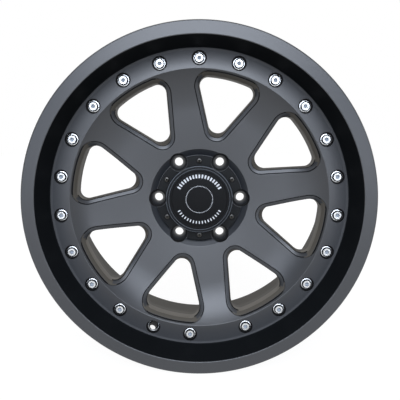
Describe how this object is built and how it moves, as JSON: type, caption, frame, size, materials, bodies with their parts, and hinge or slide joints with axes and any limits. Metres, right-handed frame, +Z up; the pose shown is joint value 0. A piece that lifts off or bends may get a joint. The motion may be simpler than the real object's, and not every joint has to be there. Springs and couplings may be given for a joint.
{
  "type": "wheel rim",
  "caption": "Deep-lipped cast truck wheel with open triangular windows between flat spokes, a bolted-look ring, conical stud seats and a screwed-on centre cap.",
  "frame": {"origin": "on the wheel's axis, in the plane of the hub mounting face", "axes": "+Y along the axis towards the vehicle, the show face looks along -Y, +Z up with the first ring bolt at the top"},
  "size_m": [0.5477, 0.2538, 0.5478],
  "materials": {
    "satin_black_coat": "satin black powder coat on cast aluminium",
    "zinc_steel": "bright zinc plate",
    "black_plastic": "moulded, fine satin",
    "black_disc": "smooth, with a plain printed ring",
    "black_steel": "black oxide"
  },
  "bodies": {
    "root": {"wheel_casting": "satin_black_coat", "ring_bolts": "zinc_steel", "cap_body": "black_plastic", "cap_disc": "black_disc", "cap_screws": "black_steel"}
  },
  "joints": []
}
